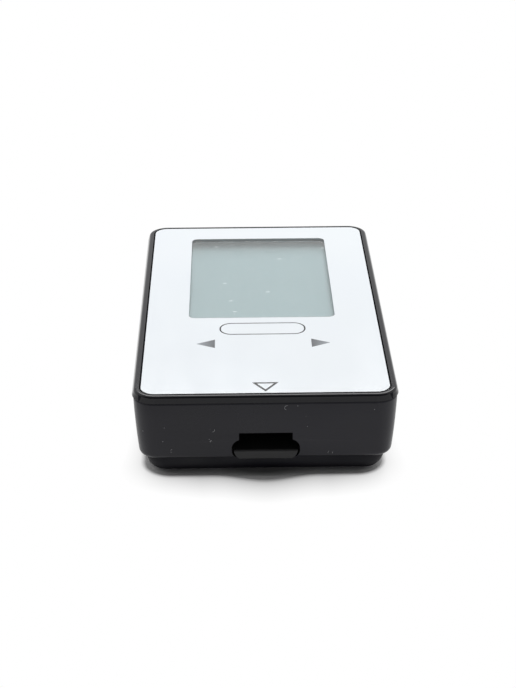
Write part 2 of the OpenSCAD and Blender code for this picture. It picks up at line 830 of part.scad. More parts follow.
module button_right() {
    side_button(1);
}

// Side profile of the case's outside: bowed, with a rounded lower edge that runs into the bow
module case_profile() {
    edge_z = cover_h + case_edge_r;
    edge_x = wall_r(edge_z, case_edge_r);
    meet_z = bow_z - (bow_z - edge_z) * bow_r / (bow_r - case_edge_r);
    intersection() {
        translate([bow_x, bow_z]) circle(bow_r, $fn = bow_fn);
        translate([0, meet_z]) square([2 * corner_r, part_z - part_gap - meet_z]);
    }
    translate([0, cover_h]) square([edge_x, case_edge_r]);
    translate([edge_x, edge_z]) circle(case_edge_r, $fn = round_fn);
}

// Side profile of the case's inside
module case_inside_profile() {
    intersection() {
        translate([bow_x, bow_z]) circle(bow_r - case_wall, $fn = bow_fn);
        translate([0, cover_h - through]) square([2 * corner_r, part_z - cover_h + through]);
    }
}

module middle_case() {
    shoulder_r = case_r - case_lip_t;
    color([0.11, 0.11, 0.12]) difference() {
        around(core_x, core_y, cover_h, part_z - part_gap) case_profile();
        around(core_x, core_y, cover_h - through, part_z) case_inside_profile();
        plate(2 * (core_x + shoulder_r), 2 * (core_y + shoulder_r), shoulder_r, plate_z, total_h);
        for (side = [-1, 1]) scale([side, 1, 1])
            in_side_wall(core_x, wall_x + through)
                stadium(button_l + 2 * button_gap, button_h + 2 * button_gap);
        in_end_wall(front_y - through, connector_start) {
            translate([-slot_w / 2, cover_h + recess_r])
                square([slot_w, slot_top - cover_h - recess_r]);
            translate([0, cover_h + (recess_h - part_gap) / 2])
                rounded(recess_w, recess_h + part_gap, recess_r);
        }
    }
}

// Side profile of the bottom cover's outside
module cover_profile() {
    translate([0, cover_edge_r]) square([cover_corner_r, cover_h - cover_edge_r]);
    translate([0, 0]) square([cover_corner_r - cover_edge_r, cover_h]);
    intersection() {
        translate([cover_corner_r - cover_edge_r, cover_edge_r]) circle(cover_edge_r, $fn = round_fn);
        square([cover_corner_r, cover_h]);
    }
}

module cover_outside() {
    around(cover_x - cover_corner_r, cover_y - cover_corner_r, 0, cover_h) cover_profile();
}

// Space of the battery door, grown by the given clearance: plate, tongues and upturned end
module door_space(grow, end_top) {
    reach = cover_y + through;
    plate_x = door_x + grow;
    run_x = tongue_x + grow;
    block([-plate_x, door_start - grow, -through], [plate_x, reach, floor_t + grow]);
    block([-run_x, door_start - grow, tongue_z - grow], [run_x, reach, floor_t + grow]);
    block([-run_x, door_end - grow, -through], [run_x, reach, end_top]);
}

// Lip in front of the strip port: its ends follow the recess, its front edges are rounded, and
// its foot stands a little lower than the case
module port_lip() {
    lip_w = recess_w - 2 * lip_gap;
    back = connector_start - locate_gap;
    depth = back + through - front_y;
    intersection() {
        in_end_wall(front_y - through, back) translate([0, lip_foot + recess_h / 2])
            rounded(lip_w, recess_h, recess_r);
        translate([-lip_w, front_y + depth / 2, (lip_foot + lip_top) / 2])
            rotate([90, 0, 90]) linear_extrude(2 * lip_w)
                rounded(depth, lip_top - lip_foot, lip_round);
    }
}

module bottom_cover() {
    rim_x = core_x + locate_r;
    rim_y = core_y + locate_r;
    rim_top = cover_h + locate_h;
    color([0.07, 0.07, 0.08]) difference() {
        union() {
            difference() {
                union() {
                    cover_outside();
                    plate(2 * rim_x, 2 * rim_y, locate_r, cover_h, rim_top);
                }
                plate(2 * (cover_x - cover_wall), 2 * (cover_y - cover_wall),
                    cover_corner_r - cover_wall, floor_t, cover_h);
                plate(2 * (rim_x - locate_t), 2 * (rim_y - locate_t), locate_r - locate_t / 2,
                    cover_h, rim_top + through);
            }
            at_screws() cylinder_from(floor_t / 2, board_z, post_r);
            port_lip();
        }
        at_screws() {
            cylinder_from(-through, board_z + through, screw_r + shank_gap);
            cylinder_from(-through, seat_z, head_r + thread_gap);
        }
        door_space(door_gap, cover_h);
        translate([0, label_y, 0])
            plate(label_w + 2 * door_gap, label_l + 2 * door_gap, label_r, -through, label_sink + label_t);
    }
}

module rating_label() {
    color([0.75, 0.76, 0.77]) translate([0, label_y, 0])
        plate(label_w, label_l, label_r, label_sink, label_sink + label_t);
}

module battery_door() {
    grip_y = door_end - grip_from_end;
    color([0.08, 0.08, 0.09]) difference() {
        intersection() {
            cover_outside();
            door_space(0, cover_h - door_gap);
        }
        block([-tongue_x - through, door_start, floor_t], [tongue_x + through, door_end, cover_h]);
        for (i = [0 : grip_count - 1])
            block([-grip_l / 2, grip_y - i * grip_pitch - grip_pitch / 2, -through],
                [grip_l / 2, grip_y - i * grip_pitch, grip_depth]);
        translate([0, grip_y - grip_count * grip_pitch, -through]) linear_extrude(grip_depth + through)
            polygon([[0, 0], [-door_arrow, -door_arrow], [door_arrow, -door_arrow]]);
    }
}

// Tray round the coin cell, with a roof under the board and slots for the two contacts
module cell_tray() {
    channel_x = tongue_x + door_gap;
    tray_y = tray_r + tray_wall;
    tray_top = tray_roof_z + tray_roof;
    slot = (cell_leaf_w + tray_wall) / 2;
    color([0.16, 0.16, 0.17]) translate([0, cell_y, 0]) difference() {
        block([-tray_x, -tray_y, floor_t], [tray_x, tray_y, tray_top]);
        cylinder_from(floor_t - through, tray_roof_z, tray_r);
        block([-channel_x, -2 * cell_r, floor_t - through], [channel_x, 2 * cell_r, floor_t + door_gap]);
        block([-slot, -cell_leaf_w - slot, tray_roof_z - through],
            [slot, 2 * cell_leaf_w, tray_top + through]);
        block([cell_r - tray_wall, -slot, cell_z], [cell_r + tray_wall, slot, tray_top + through]);
    }
}

// Coin cell: a cup with the positive side down, a seal ring and the negative cap
module cell_can() {
    color([0.78, 0.78, 0.76]) translate([0, cell_y, 0]) difference() {
        cylinder_from(cell_z, rim_z, cell_r);
        cylinder_from(cup_z, cell_top, seal_r);
    }
}

module cell_seal() {
    color([0.3, 0.3, 0.32]) translate([0, cell_y, 0]) difference() {
        cylinder_from(cup_z, rim_z, seal_r);
        cylinder_from(cup_z - through, rim_z + through, cap_r);
    }
}

module cell_cap() {
    color([0.8, 0.8, 0.78]) translate([0, cell_y, 0]) cylinder_from(cup_z, cell_top, cap_r);
}

// Leaf from the board's underside down along the rim of the coin cell
module positive_contact() {
    x = cell_r + leaf_t / 2 + touch_gap;
    top = board_z - leaf_t / 2;
    path = [[x, cell_z + cell_h / 5], [x, cell_top], [x + tray_wall / 2, top], [x + cell_leaf_w, top]];
    color([0.8, 0.75, 0.55]) translate([0, cell_y + cell_leaf_w / 2, 0]) rotate([90, 0, 0])
        linear_extrude(cell_leaf_w) ribbon(path, leaf_t);
}

// Leaf from the board's underside down to the middle of the negative cap
module negative_contact() {
    top = board_z - leaf_t / 2;
    touch = cell_top + leaf_t / 2 + touch_gap;
    foot = [2 * cell_leaf_w + tray_wall, top];
    bend = [2 * cell_leaf_w - tray_wall, top];
    tip = [-cell_leaf_w, touch + tray_roof / 2];
    path = [foot, bend, [leaf_t, touch], [-leaf_t, touch], tip];
    color([0.8, 0.75, 0.55]) translate([-cell_leaf_w / 2, cell_y, 0]) rotate([90, 0, 90])
        linear_extrude(cell_leaf_w) ribbon(path, leaf_t);
}

// Four screws with cross-slotted heads
module case_screws() {
    cross_l = 2 * screw_r;
    color([0.6, 0.6, 0.62]) at_screws() difference() {
        union() {
            cylinder_from(seat_z - head_h, seat_z, head_r);
            cylinder_from(seat_z - head_h / 2, screw_end, screw_r);
        }
        for (turn = [0, 90]) rotate(turn)
            block([-cross_l / 2, -cross_w / 2, -through], [cross_l / 2, cross_w / 2, seat_z - head_h / 2]);
    }
}

bezel_frame();
front_panel();
panel_marks();
window_lens();
screen_gasket();
display_polarizer();
display_front_glass();
display_rear_glass();
display_reflector();
display_holder();
elastomer_connector();
circuit_board();
main_chip();
memory_chip();
amplifier_chip();
chip_leads();
timing_crystal();
board_capacitors();
board_resistors();
thermistor();
strip_connector();
strip_contacts();
switch_left();
switch_right();
plunger_left();
plunger_right();
button_left();
button_right();
middle_case();
bottom_cover();
rating_label();
battery_door();
cell_tray();
cell_can();
cell_seal();
cell_cap();
positive_contact();
negative_contact();
case_screws();
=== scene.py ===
import json
import math

import bpy
from mathutils import Matrix, Vector


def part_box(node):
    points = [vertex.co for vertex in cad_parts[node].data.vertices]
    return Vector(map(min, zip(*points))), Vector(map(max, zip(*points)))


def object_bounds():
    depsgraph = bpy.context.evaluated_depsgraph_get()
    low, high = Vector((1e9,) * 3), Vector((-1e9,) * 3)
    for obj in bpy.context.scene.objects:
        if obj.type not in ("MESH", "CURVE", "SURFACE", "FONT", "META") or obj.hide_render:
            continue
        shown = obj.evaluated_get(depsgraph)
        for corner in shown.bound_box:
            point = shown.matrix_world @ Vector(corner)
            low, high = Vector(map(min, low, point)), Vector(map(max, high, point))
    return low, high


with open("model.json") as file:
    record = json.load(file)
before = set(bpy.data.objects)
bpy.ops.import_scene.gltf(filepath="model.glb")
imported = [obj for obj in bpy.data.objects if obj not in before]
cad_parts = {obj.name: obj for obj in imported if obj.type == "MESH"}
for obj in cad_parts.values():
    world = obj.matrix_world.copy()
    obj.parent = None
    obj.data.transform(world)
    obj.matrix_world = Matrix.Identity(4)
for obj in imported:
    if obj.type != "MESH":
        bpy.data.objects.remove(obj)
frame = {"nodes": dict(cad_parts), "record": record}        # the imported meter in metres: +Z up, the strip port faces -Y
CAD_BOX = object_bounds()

MM = 0.001
NODES = frame["nodes"]

# Camera, fitted to the outline of the white panel in the photograph
CAMERA_PLACE = (-4.45 * MM, -220.25 * MM, 115.45 * MM)
CAMERA_DOWN = math.radians(26.44)
CAMERA_TURN = math.radians(1.027)
CAMERA_ROLL = math.radians(-0.19)
CAMERA_NEAREST = 10 * MM
SENSOR = 36.0
IMAGE_HEIGHT = 688
FOCAL_PIXELS = 1600

# Edge rounding: the width that each outer node gets in millimetres, and the bend that counts as
# an edge
EDGES = {
    "bezel_frame": 0.03, "front_panel": 0.015, "middle_case": 0.06, "bottom_cover": 0.07,
    "battery_door": 0.08, "button_left": 0.15, "button_right": 0.15, "window_lens": 0.03,
    "rating_label": 0.02, "case_screws": 0.05,
}
EDGE_SEGMENTS = 3
EDGE_ANGLE = math.radians(28)
WELD_DISTANCE = 0.001 * MM

# Dust on the plastic, and half the width of a fibre of lint
DUST_COLOUR = (0.35, 0.35, 0.36)
LINT_HALF_WIDTH = 0.03 * MM

# Widest gap between the front panel and the rim, and how far above the panel's seat it is grimy
PANEL_GAP = 0.25 * MM
SEAT_GRIME = 0.05 * MM

# Height of the strip of the case under the bezel's band that has lost its gloss
SEAM_GRIME = 0.21 * MM

# The strip port's lip: its foot above the underside, and its paler colour above it, which is painted sheen
LIP_FOOT = 2.95 * MM
LIP_PAINTED_SHEEN_COLOUR = (0.035, 0.035, 0.036)

# Share of the front panel's half width and length past which a cut edge is its outer one, painted
# dark as shade in the gap to the rim
PANEL_RIM = 0.97

# Printed arrows: their length from base to tip, and the room between their base and other lines
ARROW_LENGTH = 2.7 * MM
ARROW_ROOM = 0.3 * MM

# Display film: its colour at its palest, and its tone from inside the window's far edge to past
# it: painted shade that darkens it towards that edge into a band just inside it, and painted light on the
# border beyond
WINDOW_TO_END = 4.6 * MM
FILM_INSIDE = 7 * MM
FILM_PAST = 2 * MM
FILM_COLOUR = (0.62, 0.912, 0.959)
FILM_PAINTED_SHADE_AND_LIGHT = ((0.0, 0.41), (0.22, 0.385), (0.36, 0.335), (0.44, 0.305), (0.53, 0.235), (0.6, 0.165),
             (0.68, 0.18), (0.74, 0.28), (0.8, 0.45), (0.84, 1.0))

# Light: the world, the dark room behind the camera with the directions where it begins and where
# it is full, and the one lamp
WORLD_LIGHT = 0.64
ROOM_LIGHT = 0.08
ROOM_FRONT = (-0.1, -0.4)
ROOM_UP = (0.14, 0.3)
SOFTBOX_SIZE = 0.38
SOFTBOX_PLACE = (0.05, 0.38, 0.46)
SOFTBOX_POWER = 2.5

# Floor
FLOOR_SIZE = 3.0
FLOOR_GAP = 0.02 * MM
FLOOR_COLOUR = (0.94, 0.94, 0.94)

# The meter's shadow on the floor, painted by place: its outline lies inside the meter's own, leans
# to the left, and bulges in the middle of the near end
CORNER_RADIUS = 4.5 * MM
SHADOW_INSET = CORNER_RADIUS + 0.9 * MM
SHADOW_LEAN = 0.2 * MM
SHADOW_BULGE = 1.5 * MM
SHADOW_BULGE_HALF = 7.5 * MM

# How far the floor is lifted out of the painted shadow on that outline, in the middle and at the
# sides, the step that it takes to get there from full shadow, and where the middle ends and the
# sides begin
SHADOW_EDGE = 0.35
SHADOW_SIDE_EDGE = 0.7
SHADOW_STEP = 0.7 * MM
SHADOW_MIDDLE = 9 * MM
SHADOW_SIDE = 17 * MM

# How far the soft part reaches out from the outline at the near end and at the back, between
# which places it grows and how late, how much shorter it is at the sides, and how soon it fades
SHADOW_FRONT = 5.6 * MM
SHADOW_BACK = 1.6 * MM
SHADOW_GROWS_FROM = 5 * MM
SHADOW_GROWS_TO = -31 * MM
SHADOW_GROWTH = 3.0
SHADOW_SIDE_REACH = 0.7
SHADOW_FADE = 0.6

# The dark middle of the shadow, painted into the floor's colour: its share of that colour, and
# where it starts and is full
SHADOW_CORE = 0.35
SHADOW_CORE_START = 1.2 * MM
SHADOW_CORE_FULL = 2.6 * MM

# Light from below: the longest ray that counts as leaving the underside, and how far inside the
# meter's outline the floor lets all light through
SHORT_RAY = 0.5 * MM
UNDER_INSET = 3 * MM


class Tree:
    """A node tree under construction."""

    def __init__(self, tree):
        self.tree = tree

    def add(self, kind, inputs=None, **settings):
        node = self.tree.nodes.new(kind)
        for name, value in settings.items():
            setattr(node, name, value)
        for name, value in (inputs or {}).items():
            self.feed(node.inputs[name], value)
        return node

    def feed(self, socket, value):
        if isinstance(value, bpy.types.NodeSocket):
            self.tree.links.new(value, socket)
        elif isinstance(value, tuple) and len(value) == 3 and socket.type == "RGBA":
            socket.default_value = (*value, 1.0)
        else:
            socket.default_value = value

    def math(self, operation, a, b=0.0, c=0.0):
        node = self.add("ShaderNodeMath", operation=operation)
        for socket, value in zip(node.inputs, (a, b, c)):
            self.feed(socket, value)
        return node.outputs[0]

    def product(self, a, b):
        return self.math("MULTIPLY", a, b)

    def highest(self, *values):
        top = values[0]
        for value in values[1:]:
            top = self.math("MAXIMUM", top, value)
        return top

    def spread(self, value, low, high, to_low=0.0, to_high=1.0, course="LINEAR"):
        """value, stretched from low..high to to_low..to_high and clamped."""
        inputs = {"Value": value, "From Min": low, "From Max": high, "To Min": to_low, "To Max": to_high}
        return self.add("ShaderNodeMapRange", inputs, interpolation_type=course).outputs[0]

    def component(self, vector, axis):
        return self.add("ShaderNodeSeparateXYZ", {"Vector": vector}).outputs[axis]

    def shows(self, path):
        """1 for the rays that see a surface or the background, by themselves or in a mirror."""
        return self.highest(path["Is Camera Ray"], path["Is Glossy Ray"], path["Is Transmission Ray"])

    def mix(self, share, a, b):
        """A shader that goes from a to b."""
        node = self.add("ShaderNodeMixShader", {"Fac": share})
        self.feed(node.inputs[1], a)
        self.feed(node.inputs[2], b)
        return node.outputs[0]


class Surface(Tree):
    """A material under construction, with its Principled shader and its coordinates."""

    def __init__(self, slot):
        self.material = bpy.data.materials.new(slot)
        self.material.use_nodes = True
        super().__init__(self.material.node_tree)
        self.shader = self.tree.nodes["Principled BSDF"]
        self.output = self.tree.nodes["Material Output"]
        self.place = self.add("ShaderNodeTexCoord").outputs["Object"]

    def set(self, **values):
        for name, value in values.items():
            self.feed(self.shader.inputs[name.replace("_", " ")], value)

    def axis(self, name):
        return self.component(self.place, name)

    def off_middle(self, name):
        return self.math("ABSOLUTE", self.axis(name))

    def within(self, limits):
        """1 where the place is off the middle by less than each limit, along X, Y and then Z."""
        inside = None
        for name, limit in zip("XYZ", limits):
            near = self.math("LESS_THAN", self.off_middle(name), limit)
            inside = near if inside is None else self.product(inside, near)
        return inside

    def tilt(self):
        """How far the surface faces up or down: 1 where it is level, 0 where it is upright."""
        normal = self.add("ShaderNodeNewGeometry").outputs["True Normal"]
        return self.math("ABSOLUTE", self.component(normal, "Z"))

    def stretched(self, stretch):
        return self.add("ShaderNodeMapping", {"Vector": self.place, "Scale": stretch}).outputs[0]

    def noise(self, scale, detail=3.0, roughness=0.5, stretch=None):
        place = self.place if stretch is None else self.stretched(stretch)
        inputs = {"Vector": place, "Scale": scale, "Detail": detail, "Roughness": roughness}
        return self.add("ShaderNodeTexNoise", inputs).outputs["Fac"]

    def blend(self, share, a, b):
        node = self.add("ShaderNodeMix", data_type="RGBA")
        for name, value in (("Factor", share), ("A", a), ("B", b)):
            socket = next(s for s in node.inputs if s.name == name and s.enabled)
            self.feed(socket, value)
        return next(s for s in node.outputs if s.enabled)

    def mottled(self, pattern, colour, darkest, palest):
        """The colour, times darkest to palest, as the pattern goes from low to high."""
        dark = tuple(darkest * c for c in colour)
        pale = tuple(palest * c for c in colour)
        return self.blend(self.spread(pattern, 0.3, 0.7), dark, pale)

    def ramp(self, value, stops):
        """Grey that follows the stops, each a place from 0 to 1 and the level there."""
        node = self.add("ShaderNodeValToRGB", {"Fac": value})
        points = node.color_ramp.elements
        while len(points) < len(stops):
            points.new(0.5)
        for point, (place, level) in zip(points, stops):
            point.position = place
            point.color = (level, level, level, 1.0)
        return node.outputs["Color"]

    def scatter(self, cell, place, level):
        """Points about a cell apart: how far off the nearest is, in cells, and its random colour.

        On a level surface the points lie in the surface, and otherwise all through the solid.
        """
        kind = "2D" if level else "3D"
        node = self.add("ShaderNodeTexVoronoi", {"Vector": place, "Scale": 1 / cell}, voronoi_dimensions=kind)
        draw = self.add("ShaderNodeSeparateColor", {"Color": node.outputs["Color"]})
        return node.outputs["Distance"], draw.outputs

    def specks(self, cell, radius, share, level=False, stretch=(1.0, 1.0, 1.0)):
        """Round specks of up to that radius: 1 inside a speck."""
        distance, draw = self.scatter(cell, self.stretched(stretch), level)
        near = self.spread(distance, radius / cell, 0.5 * radius / cell)
        return self.product(near, self.math("LESS_THAN", draw[0], share))

    def lint(self, cell, radius, share, level=False):
        """Sparse thin arcs of that radius, broken up by noise: 1 on an arc."""
        distance, draw = self.scatter(cell, self.place, level)
        off = self.math("ABSOLUTE", self.math("SUBTRACT", distance, radius / cell))
        thin = self.spread(off, LINT_HALF_WIDTH / cell, 0.5 * LINT_HALF_WIDTH / cell)
        kept = self.math("LESS_THAN", draw[1], share)
        broken = self.math("GREATER_THAN", self.noise(0.6 / radius, 1.0), 0.56)
        return self.product(thin, self.product(kept, broken))

    def relief(self, height, depth, normal=None):
        """Bump of the given depth in metres, on top of an earlier one."""
        node = self.add("ShaderNodeBump", {"Height": height, "Distance": depth, "Strength": 1.0})
        if normal is not None:
            self.feed(node.inputs["Normal"], normal)
        self.set(Normal=node.outputs["Normal"])
        return node.outputs["Normal"]


def moulded(slot, colour, roughness, grain=0.25 * MM, depth=0.0004 * MM, dust=0.02, ior=1.5,
            gloss_and_sheen_above=None, grimy_above=None, grimy_within=None):
    """Moulded plastic: fine grain, slow waviness, uneven gloss, a little dust and lint.

    Above the first height it is glossier and painted paler, as sheen; it is dull above the second and in the
    box.
    """
    s = Surface(slot)
    plain = s.mottled(s.noise(60.0), colour, 0.85, 1.15)
    gloss = s.spread(s.noise(180.0, 4.0), 0.3, 0.7, roughness * 0.85, roughness * 1.2)
    if gloss_and_sheen_above is not None:
        gloss_and_sheen = s.math("GREATER_THAN", s.axis("Z"), gloss_and_sheen_above)
        # painted sheen: the lip is paler above its foot
        plain = s.blend(gloss_and_sheen, plain, LIP_PAINTED_SHEEN_COLOUR)
        gloss = s.product(gloss, s.spread(gloss_and_sheen, 0.0, 1.0, 1.0, 0.4))
    if grimy_above is not None:
        gloss = s.highest(gloss, s.product(s.math("GREATER_THAN", s.axis("Z"), grimy_above), 0.7))
    if grimy_within is not None:
        gloss = s.highest(gloss, s.within(grimy_within))
    speck = s.highest(s.specks(1.3 * MM, 0.07 * MM, dust), s.lint(3.1 * MM, 0.35 * MM, dust))
    s.set(Base_Color=s.blend(speck, plain, DUST_COLOUR), IOR=ior)
    s.set(Roughness=s.math("ADD", gloss, s.product(speck, 0.4)))
    fine = s.relief(s.noise(1 / grain, 2.0), depth)
    s.relief(s.noise(90.0, 1.0), 0.006 * MM, fine)
    return s.material


def bezel_gloss():
    """Glossy, but for the seat of the front panel, which shows as a dull line in the gap."""
    low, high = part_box("front_panel")
    seat = (high.x + PANEL_GAP, high.y + PANEL_GAP, low.z + SEAT_GRIME)
    return moulded("bezel_gloss", (0.0085, 0.0085, 0.012), 0.08, grain=0.4 * MM, depth=0.0001 * MM,
                   dust=0.15, ior=1.35, grimy_within=seat)


def case_satin():
    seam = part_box("middle_case")[1].z - SEAM_GRIME
    return moulded("case_satin", (0.0075, 0.0072, 0.013), 0.3, grain=0.16 * MM, depth=0.0012 * MM,
                   dust=0.5, ior=1.37, grimy_above=seam)


def cover_black():
    """Satin, but for the lip of the strip port, which test strips have polished, and which is painted paler
    as a sheen.
    """
    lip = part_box("bottom_cover")[0].z + LIP_FOOT
    return moulded("cover_black", (0.003, 0.0029, 0.006), 0.55, grain=0.16 * MM, depth=0.0012 * MM,
                   dust=0.1, ior=1.3, gloss_and_sheen_above=lip)


def door_black():
    return moulded("door_black", (0.003, 0.0029, 0.006), 0.5, grain=0.16 * MM, depth=0.0014 * MM,
                   dust=0.1, ior=1.35)


def button_black():
    return moulded("button_black", (0.003, 0.0029, 0.0055), 0.36, grain=0.12 * MM,
                   depth=0.0016 * MM, dust=0.1, ior=1.4)


def inner_black():
    return moulded("inner_black", (0.004, 0.004, 0.0045), 0.55, grain=0.2 * MM, depth=0.002 * MM,
                   dust=0.0, ior=1.35)


def plunger_ivory():
    return moulded("plunger_ivory", (0.72, 0.68, 0.56), 0.42, grain=0.2 * MM, depth=0.001 * MM,
                   dust=0.0)


def seal_grey():
    return moulded("seal_grey", (0.07, 0.07, 0.075), 0.5, grain=0.15 * MM, depth=0.001 * MM,
                   dust=0.0)


def panel_white():
    """Sheet printed white on its face, under a hard gloss coat with smears.

    Its cut edges are grey round the window; in the gap to the rim they are painted dark, as shade.
    """
    s = Surface("panel_white")
    tone = s.spread(s.noise(35.0, 2.0), 0.3, 0.7)
    white = s.blend(tone, (0.9, 0.95, 0.995), (0.92, 0.965, 1.0))
    inner = s.within([PANEL_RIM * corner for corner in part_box("front_panel")[1][:2]])
    # the outer cut edges are painted dark: shade in the gap to the rim
    edge_colour_and_painted_gap_shade = s.blend(inner, (0.02, 0.02, 0.023), (0.72, 0.75, 0.79))
    upright = s.math("LESS_THAN", s.tilt(), 0.6)
    s.set(Base_Color=s.blend(upright, white, edge_colour_and_painted_gap_shade))
    smear = s.noise(120.0, 5.0, 0.6, (1.0, 0.35, 1.0))
    gloss = s.spread(smear, 0.35, 0.7, 0.08, 0.17)
    s.set(Roughness=s.highest(gloss, s.product(upright, 0.9)))
    s.relief(s.noise(160.0, 1.0), 0.002 * MM)
    return s.material


def print_grey():
    """Ink: the two arrows fade from dark at their base to pale at their tip, the lines are dark."""
    s = Surface("print_grey")
    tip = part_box("panel_marks")[1].x
    base = tip - ARROW_LENGTH
    across = s.off_middle("X")
    arrow = s.math("GREATER_THAN", across, base - ARROW_ROOM)
    pale = s.product(s.spread(across, base, tip, 0.3, 1.0), arrow)
    ink = s.blend(pale, (0.006, 0.006, 0.008), (0.33, 0.36, 0.39))
    grain = s.noise(5000.0, 1.0)
    thin = s.spread(grain, 0.6, 0.8, 0.0, 0.15)
    s.set(Base_Color=s.blend(thin, ink, (0.75, 0.78, 0.82)), Roughness=0.15, IOR=1.42)
    s.relief(grain, 0.0006 * MM)
    return s.material


def lens_clear():
    """Clear acrylic with faint smears. The lamp's light and light from below pass straight through."""
    s = Surface("lens_clear")
    smear = s.noise(110.0, 5.0, 0.6, (1.0, 0.4, 1.0))
    s.set(Base_Color=(0.97, 0.985, 0.985), Transmission_Weight=1.0, IOR=1.49, Specular_IOR_Level=0.3)
    s.set(Roughness=s.spread(smear, 0.4, 0.75, 0.0, 0.05))
    path = s.add("ShaderNodeLightPath").outputs
    passing = s.highest(path["Is Shadow Ray"], path["Is Diffuse Ray"])
    clear = s.add("ShaderNodeBsdfTransparent", {"Color": (0.93, 0.95, 0.95)}).outputs[0]
    s.feed(s.output.inputs["Surface"], s.mix(passing, s.shader.outputs[0], clear))
    return s.material


def foam_black():
    s = Surface("foam_black")
    cells = s.add("ShaderNodeTexVoronoi", {"Vector": s.place, "Scale": 7000.0}).outputs["Distance"]
    s.set(Base_Color=s.blend(cells, (0.006, 0.006, 0.006), (0.03, 0.03, 0.03)), Roughness=0.95)
    s.relief(cells, 0.04 * MM)
    return s.material


def display_film():
    """Grey-green polariser over the idle display, with a fine grain, a little dust and lint, and painted
    shade and light near the window's far edge.
    """
    s = Surface("display_film")
    grain = s.noise(9000.0, 1.0)
    film = s.mottled(s.noise(45.0, 2.0), FILM_COLOUR, 0.97, 1.03)
    film = s.blend(s.spread(grain, 0.3, 0.7, 0.0, 0.06), film, (0.37, 0.49, 0.52))
    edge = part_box("front_panel")[1].y - WINDOW_TO_END
    along = s.spread(s.axis("Y"), edge - FILM_INSIDE, edge + FILM_PAST)
    # painted shade darkens the film towards the window's far edge and in a band inside it; painted light
    # makes the border beyond it pale
    film = s.blend(s.ramp(along, FILM_PAINTED_SHADE_AND_LIGHT), (0.0, 0.0, 0.0), film)
    large = s.specks(4.7 * MM, 0.27 * MM, 0.5, level=True, stretch=(0.6, 1.0, 1.0))
    small = s.specks(2.3 * MM, 0.13 * MM, 0.3, level=True)
    speck = s.highest(large, small, s.lint(4.3 * MM, 0.3 * MM, 0.35, level=True))
    s.set(Base_Color=s.blend(s.product(speck, 0.5), film, (0.85, 0.9, 0.9)))
    s.set(Roughness=0.35, Specular_IOR_Level=0.15)
    s.relief(grain, 0.0008 * MM)
    return s.material


def display_glass():
    s = Surface("display_glass")
    s.set(Base_Color=(0.86, 0.95, 0.93), Transmission_Weight=1.0, IOR=1.52)
    s.set(Roughness=s.spread(s.noise(200.0), 0.4, 0.7, 0.0, 0.03))
    return s.material


def metal(slot, colour, roughness, brush=(1.0, 1.0, 1.0), depth=0.0008 * MM, stain=0.25):
    """Metal with fine working marks along one direction and a little tarnish."""
    s = Surface(slot)
    marks = s.noise(3000.0, 3.0, 0.6, brush)
    stained = s.spread(s.noise(250.0, 4.0), 0.5, 0.75, 0.0, stain)
    dark = tuple(0.55 * c for c in colour)
    s.set(Base_Color=s.blend(stained, colour, dark), Metallic=1.0)
    s.set(Roughness=s.spread(marks, 0.3, 0.7, roughness * 0.75, roughness * 1.35))
    s.relief(marks, depth)
    return s.material


def reflector_film():
    return metal("reflector_film", (0.7, 0.72, 0.7), 0.4)


def tinned_metal():
    return metal("tinned_metal", (0.66, 0.66, 0.64), 0.32, depth=0.002 * MM)


def gold_plate():
    return metal("gold_plate", (0.86, 0.62, 0.24), 0.22, brush=(1.0, 0.1, 1.0), stain=0.1)


def cell_steel():
    return metal("cell_steel", (0.68, 0.68, 0.66), 0.24, brush=(0.15, 1.0, 1.0), stain=0.15)


def spring_nickel():
    return metal("spring_nickel", (0.7, 0.67, 0.6), 0.25, brush=(1.0, 0.2, 1.0))


def screw_steel():
    return metal("screw_steel", (0.56, 0.57, 0.58), 0.3, depth=0.0015 * MM)


def label_silver():
    """Bare silver film with a fine grain."""
    s = Surface("label_silver")
    grain = s.noise(6000.0, 2.0)
    s.set(Base_Color=s.blend(grain, (0.42, 0.43, 0.44), (0.56, 0.57, 0.58)), Metallic=0.7)
    s.set(Roughness=s.spread(s.noise(300.0, 3.0), 0.3, 0.7, 0.38, 0.52))
    s.relief(grain, 0.001 * MM)
    return s.material


def elastomer_pink():
    """Silicone with its thin conducting layers side by side."""
    s = Surface("elastomer_pink")
    inputs = {"Vector": s.place, "Scale": 1600.0}
    layers = s.add("ShaderNodeTexWave", inputs, bands_direction="X").outputs["Fac"]
    s.set(Base_Color=s.blend(layers, (0.6, 0.27, 0.23), (0.12, 0.09, 0.09)), Roughness=0.6)
    s.relief(s.noise(2500.0, 2.0), 0.002 * MM)
    return s.material


def board_green():
    """Solder mask over copper tracks, with tinned pads here and there."""
    s = Surface("board_green")
    inputs = {"Vector": s.place, "Scale": 420.0, "Brick Width": 0.9, "Row Height": 0.3, "Mortar Size": 0.04}
    tracks = s.add("ShaderNodeTexBrick", inputs).outputs["Fac"]
    pads = s.specks(1.5 * MM, 0.22 * MM, 0.35)
    mask = s.blend(tracks, (0.012, 0.085, 0.03), (0.03, 0.17, 0.065))
    s.set(Base_Color=s.blend(pads, mask, (0.7, 0.69, 0.64)), Metallic=pads)
    s.set(Roughness=s.spread(s.noise(500.0, 3.0), 0.3, 0.7, 0.25, 0.38))
    s.relief(s.math("ADD", tracks, pads), 0.02 * MM)
    return s.material


def chip_black():
    """Moulded package with a fine stone-like grain."""
    s = Surface("chip_black")
    grain = s.noise(7000.0, 3.0)
    s.set(Base_Color=s.blend(grain, (0.012, 0.012, 0.013), (0.035, 0.035, 0.037)), Roughness=0.62)
    s.relief(grain, 0.004 * MM)
    return s.material


def ceramic_tan():
    s = Surface("ceramic_tan")
    grain = s.noise(6000.0, 2.0)
    s.set(Base_Color=s.blend(grain, (0.36, 0.24, 0.12), (0.5, 0.36, 0.2)), Roughness=0.45)
    s.relief(grain, 0.003 * MM)
    return s.material


